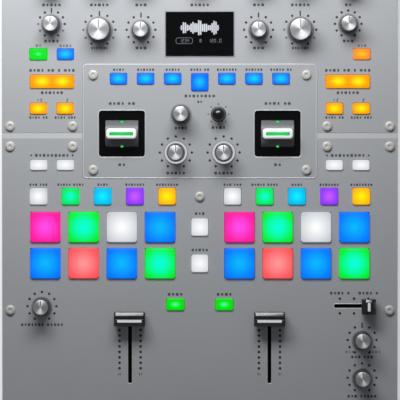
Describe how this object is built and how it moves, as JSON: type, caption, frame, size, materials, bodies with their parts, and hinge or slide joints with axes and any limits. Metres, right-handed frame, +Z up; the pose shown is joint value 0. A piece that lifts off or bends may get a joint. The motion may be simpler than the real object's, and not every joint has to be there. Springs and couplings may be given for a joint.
{
  "type": "dj mixer",
  "caption": "Two-channel DJ battle mixer with lit pads, effect paddles, channel faders, crossfader and back-panel sockets.",
  "frame": {"origin": "on the floor under the middle of the top panel", "axes": "+Z up, +Y to the back sockets, +X to the right as the user sees it"},
  "size_m": [0.3, 0.404, 0.1048],
  "materials": {
    "case_paint": "black powder coat, fine texture",
    "panel": "bead-blasted silver anodised",
    "fx_panel": "bead-blasted silver anodised",
    "screw_steel": "zinc-plated",
    "feet_rubber": "matt",
    "circuit_board": "green solder mask",
    "control_metal": "nickel-plated",
    "supply_parts": "mixed components",
    "socket_plastic": "moulded black",
    "gold_plate": "gold-plated",
    "socket_steel": "nickel-plated",
    "display_glass": "clear over a lit display",
    "display_parts": "black",
    "well_plastic": "gloss black",
    "knob_metal": "spun and lacquered cap on a black knurled body",
    "fader_plastic": "satin black with a white line",
    "paddle_plastic": "white with a lit green line",
    "gimbal_metal": "plain",
    "stick_rubber": "gloss black ball",
    "rocker_plastic": "gloss black",
    "key_mixed": "translucent, lit from below in several colours",
    "key_blue": "translucent, lit from below",
    "key_amber": "translucent, lit from below",
    "key_white": "translucent, lit from below",
    "key_green": "translucent, lit from below",
    "pad_silicone": "translucent silicone, lit from below"
  },
  "bodies": {
    "chassis": {"base_tray": "case_paint", "upper_faceplate": "panel", "lower_faceplate": "panel", "fx_plate": "fx_panel", "panel_screws": "screw_steel", "rear_panel": "case_paint", "rubber_feet": "feet_rubber", "circuit_boards": "circuit_board", "potentiometers": "control_metal", "fader_modules": "control_metal", "power_supply": "supply_parts", "power_inlet": "socket_plastic", "xlr_outputs": "socket_plastic", "jack_sockets": "socket_plastic", "rca_jacks": "gold_plate", "usb_ports": "socket_steel", "headphone_jacks": "socket_plastic", "display_window": "display_glass", "display_module": "display_parts", "paddle_wells": "well_plastic"},
    "mic_level": {"mic_level": "knob_metal"},
    "mic_tone": {"mic_tone": "knob_metal"},
    "session_in": {"session_in": "knob_metal"},
    "session_out": {"session_out": "knob_metal"},
    "level_left": {"level_left": "knob_metal"},
    "level_right": {"level_right": "knob_metal"},
    "filter_left": {"filter_left": "knob_metal"},
    "filter_right": {"filter_right": "knob_metal"},
    "high_left": {"high_left": "knob_metal"},
    "high_right": {"high_right": "knob_metal"},
    "mid_left": {"mid_left": "knob_metal"},
    "mid_right": {"mid_right": "knob_metal"},
    "low_left": {"low_left": "knob_metal"},
    "low_right": {"low_right": "knob_metal"},
    "main_level": {"main_level": "knob_metal"},
    "booth_level": {"booth_level": "knob_metal"},
    "fx_time": {"fx_time": "knob_metal"},
    "depth_left": {"depth_left": "knob_metal"},
    "depth_right": {"depth_right": "knob_metal"},
    "sampler_level": {"sampler_level": "knob_metal"},
    "cue_mix": {"cue_mix": "knob_metal"},
    "cue_level": {"cue_level": "knob_metal"},
    "fader_left": {"fader_left": "fader_plastic"},
    "fader_right": {"fader_right": "fader_plastic"},
    "crossfader": {"crossfader": "fader_plastic"},
    "cue_slider": {"cue_slider": "fader_plastic"},
    "paddle_left": {"paddle_left": "paddle_plastic"},
    "paddle_right": {"paddle_right": "paddle_plastic"},
    "beat_gimbal": {"beat_gimbal": "gimbal_metal"},
    "beat_stick": {"beat_stick": "stick_rubber"},
    "power_switch": {"power_switch": "rocker_plastic"},
    "input_keys": {"input_keys": "key_mixed"},
    "loop_keys": {"loop_keys": "key_amber"},
    "fx_keys": {"fx_keys": "key_blue"},
    "parameter_keys": {"parameter_keys": "key_white"},
    "mode_keys": {"mode_keys": "key_mixed"},
    "pads_left": {"pads_left": "pad_silicone"},
    "pads_right": {"pads_right": "pad_silicone"},
    "tap_shift_keys": {"tap_shift_keys": "key_white"},
    "sync_keys": {"sync_keys": "key_green"}
  },
  "joints": [
    {"name": "mic_level_turn", "type": "hinge", "parent": "chassis", "child": "mic_level", "pos_m": [-0.1123, 0.144, 0.096], "axis": [0, 0, 1], "range_deg": [-150, 150]},
    {"name": "mic_tone_turn", "type": "hinge", "parent": "chassis", "child": "mic_tone", "pos_m": [-0.1123, 0.1156, 0.096], "axis": [0, 0, 1], "range_deg": [-150, 150]},
    {"name": "session_in_turn", "type": "hinge", "parent": "chassis", "child": "session_in", "pos_m": [0.1123, 0.144, 0.096], "axis": [0, 0, 1], "range_deg": [-150, 150]},
    {"name": "session_out_turn", "type": "hinge", "parent": "chassis", "child": "session_out", "pos_m": [0.1123, 0.1156, 0.096], "axis": [0, 0, 1], "range_deg": [-150, 150]},
    {"name": "level_left_turn", "type": "hinge", "parent": "chassis", "child": "level_left", "pos_m": [-0.076, 0.1462, 0.096], "axis": [0, 0, 1], "range_deg": [-150, 150]},
    {"name": "level_right_turn", "type": "hinge", "parent": "chassis", "child": "level_right", "pos_m": [0.076, 0.1462, 0.096], "axis": [0, 0, 1], "range_deg": [-150, 150]},
    {"name": "filter_left_turn", "type": "hinge", "parent": "chassis", "child": "filter_left", "pos_m": [-0.076, 0.1112, 0.096], "axis": [0, 0, 1], "range_deg": [-150, 150]},
    {"name": "filter_right_turn", "type": "hinge", "parent": "chassis", "child": "filter_right", "pos_m": [0.076, 0.1112, 0.096], "axis": [0, 0, 1], "range_deg": [-150, 150]},
    {"name": "high_left_turn", "type": "hinge", "parent": "chassis", "child": "high_left", "pos_m": [-0.0445, 0.1812, 0.096], "axis": [0, 0, 1], "range_deg": [-150, 150]},
    {"name": "high_right_turn", "type": "hinge", "parent": "chassis", "child": "high_right", "pos_m": [0.0445, 0.1812, 0.096], "axis": [0, 0, 1], "range_deg": [-150, 150]},
    {"name": "mid_left_turn", "type": "hinge", "parent": "chassis", "child": "mid_left", "pos_m": [-0.0445, 0.1462, 0.096], "axis": [0, 0, 1], "range_deg": [-150, 150]},
    {"name": "mid_right_turn", "type": "hinge", "parent": "chassis", "child": "mid_right", "pos_m": [0.0445, 0.1462, 0.096], "axis": [0, 0, 1], "range_deg": [-150, 150]},
    {"name": "low_left_turn", "type": "hinge", "parent": "chassis", "child": "low_left", "pos_m": [-0.0445, 0.1112, 0.096], "axis": [0, 0, 1], "range_deg": [-150, 150]},
    {"name": "low_right_turn", "type": "hinge", "parent": "chassis", "child": "low_right", "pos_m": [0.0445, 0.1112, 0.096], "axis": [0, 0, 1], "range_deg": [-150, 150]},
    {"name": "main_level_turn", "type": "hinge", "parent": "chassis", "child": "main_level", "pos_m": [0, 0.1812, 0.096], "axis": [0, 0, 1], "range_deg": [-150, 150]},
    {"name": "booth_level_turn", "type": "hinge", "parent": "chassis", "child": "booth_level", "pos_m": [0, 0.1462, 0.096], "axis": [0, 0, 1], "range_deg": [-150, 150]},
    {"name": "fx_time_turn", "type": "hinge", "parent": "chassis", "child": "fx_time", "pos_m": [-0.0143, 0.0476, 0.096], "axis": [0, 0, 1], "continuous": true},
    {"name": "depth_left_turn", "type": "hinge", "parent": "chassis", "child": "depth_left", "pos_m": [-0.0181, 0.0183, 0.096], "axis": [0, 0, 1], "range_deg": [-150, 150]},
    {"name": "depth_right_turn", "type": "hinge", "parent": "chassis", "child": "depth_right", "pos_m": [0.0181, 0.0183, 0.096], "axis": [0, 0, 1], "range_deg": [-150, 150]},
    {"name": "sampler_level_turn", "type": "hinge", "parent": "chassis", "child": "sampler_level", "pos_m": [-0.1198, -0.0984, 0.096], "axis": [0, 0, 1], "range_deg": [-150, 150]},
    {"name": "cue_mix_turn", "type": "hinge", "parent": "chassis", "child": "cue_mix", "pos_m": [0.1231, -0.1238, 0.096], "axis": [0, 0, 1], "range_deg": [-150, 150]},
    {"name": "cue_level_turn", "type": "hinge", "parent": "chassis", "child": "cue_level", "pos_m": [0.1231, -0.1525, 0.096], "axis": [0, 0, 1], "range_deg": [-150, 150]},
    {"name": "fader_left_slide", "type": "slide", "parent": "chassis", "child": "fader_left", "axis": [0, -1, 0], "range_m": [0, 0.045]},
    {"name": "fader_right_slide", "type": "slide", "parent": "chassis", "child": "fader_right", "axis": [0, -1, 0], "range_m": [0, 0.045]},
    {"name": "crossfader_slide", "type": "slide", "parent": "chassis", "child": "crossfader", "axis": [1, 0, 0], "range_m": [-0.0225, 0.0225]},
    {"name": "cue_slide", "type": "slide", "parent": "chassis", "child": "cue_slider", "axis": [-1, 0, 0], "range_m": [0, 0.0216]},
    {"name": "paddle_left_rock", "type": "hinge", "parent": "chassis", "child": "paddle_left", "pos_m": [-0.059, 0.0325, 0.08], "axis": [1, 0, 0], "range_deg": [-18, 18], "stiffness_Nm_per_rad": 0.15},
    {"name": "paddle_right_rock", "type": "hinge", "parent": "chassis", "child": "paddle_right", "pos_m": [0.059, 0.0325, 0.08], "axis": [1, 0, 0], "range_deg": [-18, 18], "stiffness_Nm_per_rad": 0.15},
    {"name": "beat_tip", "type": "hinge", "parent": "chassis", "child": "beat_gimbal", "pos_m": [0.0142, 0.0473, 0.081], "axis": [1, 0, 0], "range_deg": [-12, 12], "stiffness_Nm_per_rad": 0.03},
    {"name": "beat_lean", "type": "hinge", "parent": "beat_gimbal", "child": "beat_stick", "pos_m": [0.0142, 0.0473, 0.081], "axis": [0, 1, 0], "range_deg": [-12, 12], "stiffness_Nm_per_rad": 0.03},
    {"name": "power_rock", "type": "hinge", "parent": "chassis", "child": "power_switch", "pos_m": [-0.118, 0.187, 0.062], "axis": [1, 0, 0], "range_deg": [0, 20]},
    {"name": "input_keys_press", "type": "slide", "parent": "chassis", "child": "input_keys", "axis": [0, 0, -1], "range_m": [0, 0.0012], "stiffness_N_per_m": 600, "springref_m": -0.003},
    {"name": "loop_keys_press", "type": "slide", "parent": "chassis", "child": "loop_keys", "axis": [0, 0, -1], "range_m": [0, 0.0012], "stiffness_N_per_m": 600, "springref_m": -0.003},
    {"name": "fx_keys_press", "type": "slide", "parent": "chassis", "child": "fx_keys", "axis": [0, 0, -1], "range_m": [0, 0.0012], "stiffness_N_per_m": 600, "springref_m": -0.003},
    {"name": "parameter_keys_press", "type": "slide", "parent": "chassis", "child": "parameter_keys", "axis": [0, 0, -1], "range_m": [0, 0.0012], "stiffness_N_per_m": 600, "springref_m": -0.003},
    {"name": "mode_keys_press", "type": "slide", "parent": "chassis", "child": "mode_keys", "axis": [0, 0, -1], "range_m": [0, 0.0012], "stiffness_N_per_m": 600, "springref_m": -0.003},
    {"name": "pads_left_press", "type": "slide", "parent": "chassis", "child": "pads_left", "axis": [0, 0, -1], "range_m": [0, 0.0012], "stiffness_N_per_m": 600, "springref_m": -0.003},
    {"name": "pads_right_press", "type": "slide", "parent": "chassis", "child": "pads_right", "axis": [0, 0, -1], "range_m": [0, 0.0012], "stiffness_N_per_m": 600, "springref_m": -0.003},
    {"name": "tap_shift_keys_press", "type": "slide", "parent": "chassis", "child": "tap_shift_keys", "axis": [0, 0, -1], "range_m": [0, 0.0012], "stiffness_N_per_m": 600, "springref_m": -0.003},
    {"name": "sync_keys_press", "type": "slide", "parent": "chassis", "child": "sync_keys", "axis": [0, 0, -1], "range_m": [0, 0.0012], "stiffness_N_per_m": 600, "springref_m": -0.003}
  ]
}
